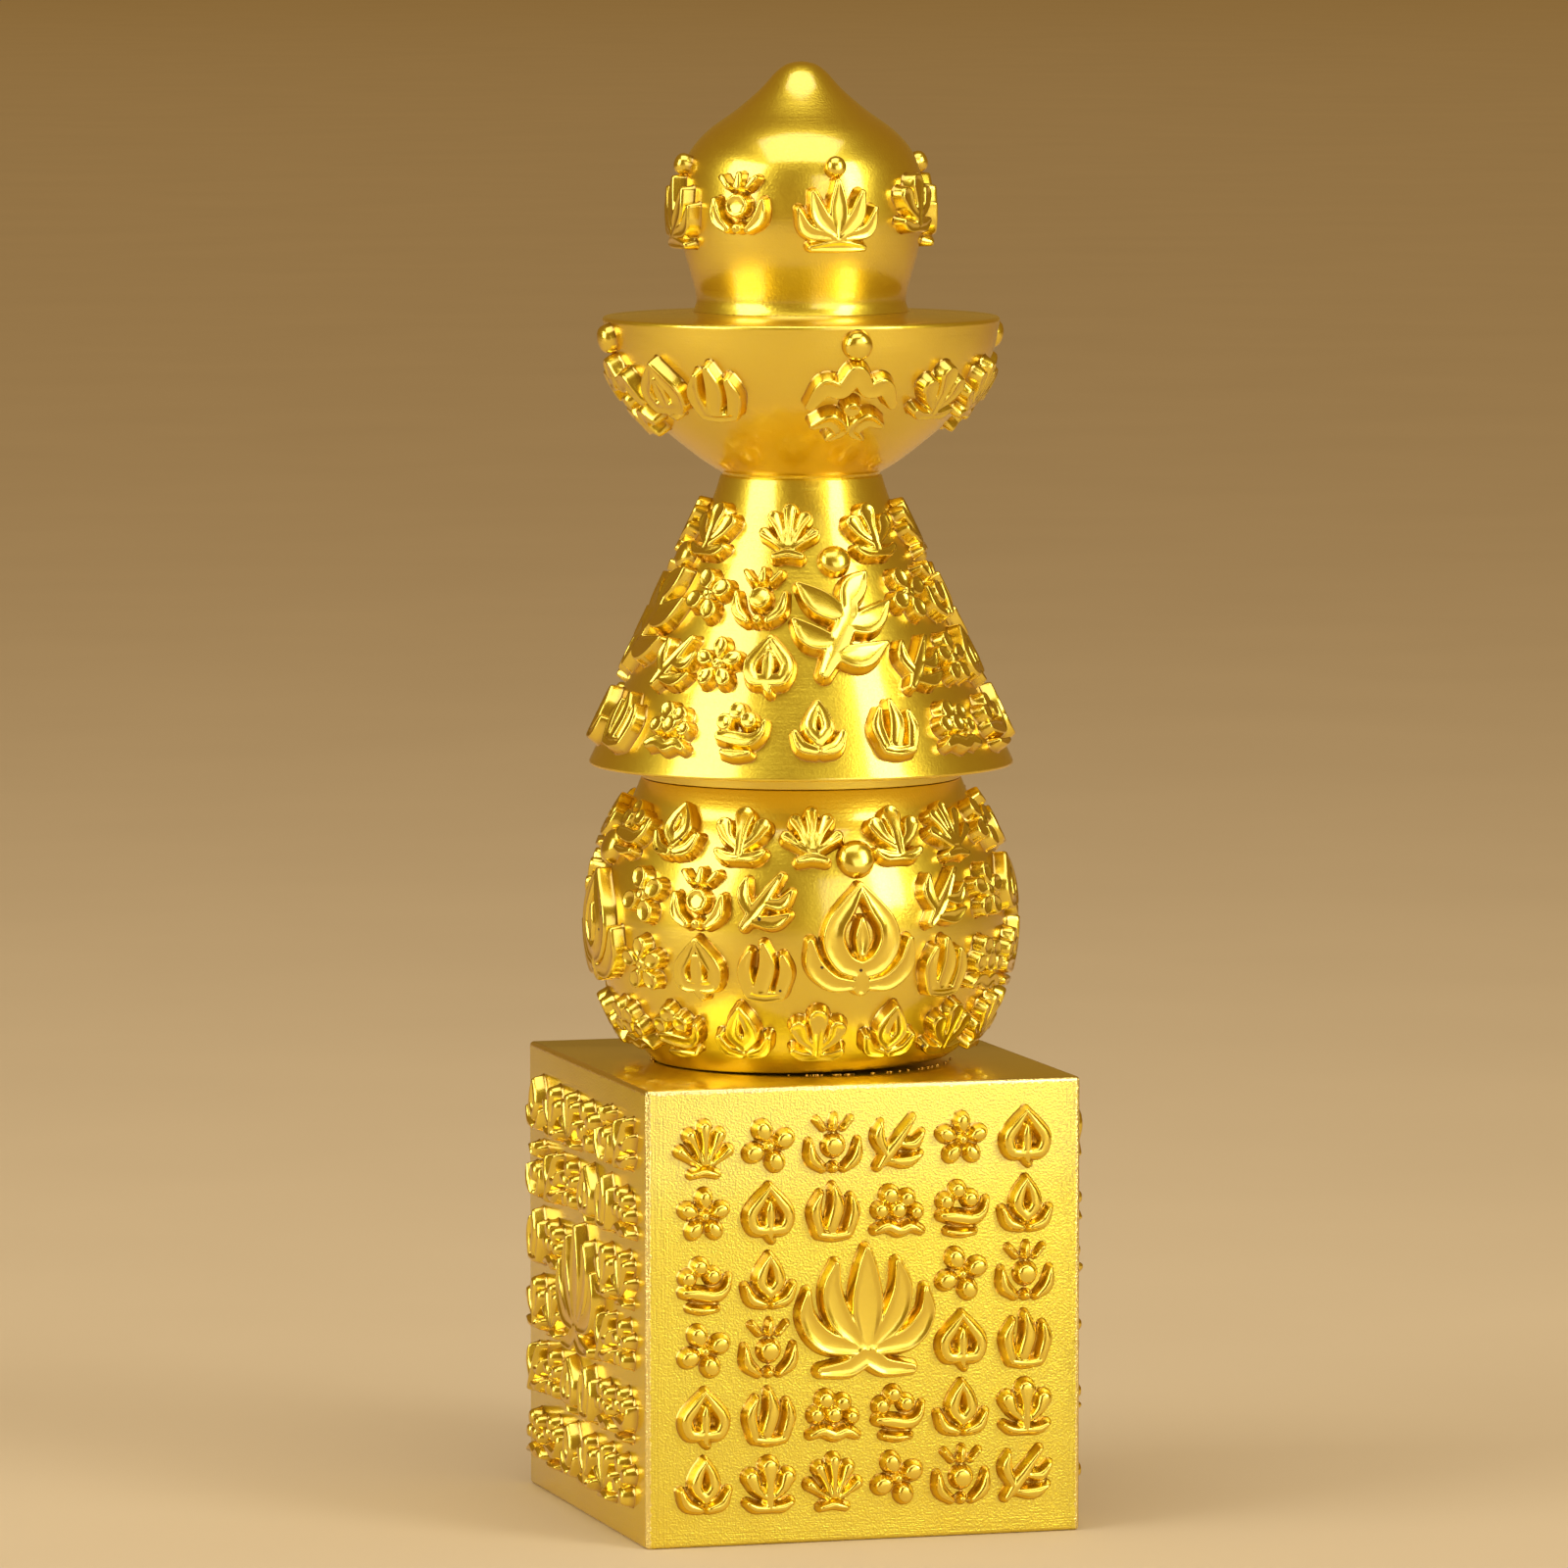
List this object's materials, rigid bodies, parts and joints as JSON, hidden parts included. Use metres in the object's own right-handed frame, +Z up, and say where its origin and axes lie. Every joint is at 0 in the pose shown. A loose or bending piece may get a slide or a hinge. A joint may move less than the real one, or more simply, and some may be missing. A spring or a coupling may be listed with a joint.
{
  "type": "model stupa",
  "caption": "Desk-size stupa: a square block, globe, cone, bowl and pointed jewel stacked on one axis, with raised ornament all round.",
  "frame": {"origin": "centre of the block's underside", "axes": "+Z up through the jewel's tip, -Y out of the block's front face"},
  "size_m": [0.051, 0.051, 0.1562],
  "materials": {
    "gold": "satin gold, sanded on the plain faces"
  },
  "bodies": {
    "root": {"base_block": "gold", "globe": "gold", "cone": "gold", "bowl": "gold", "jewel": "gold"}
  },
  "joints": []
}
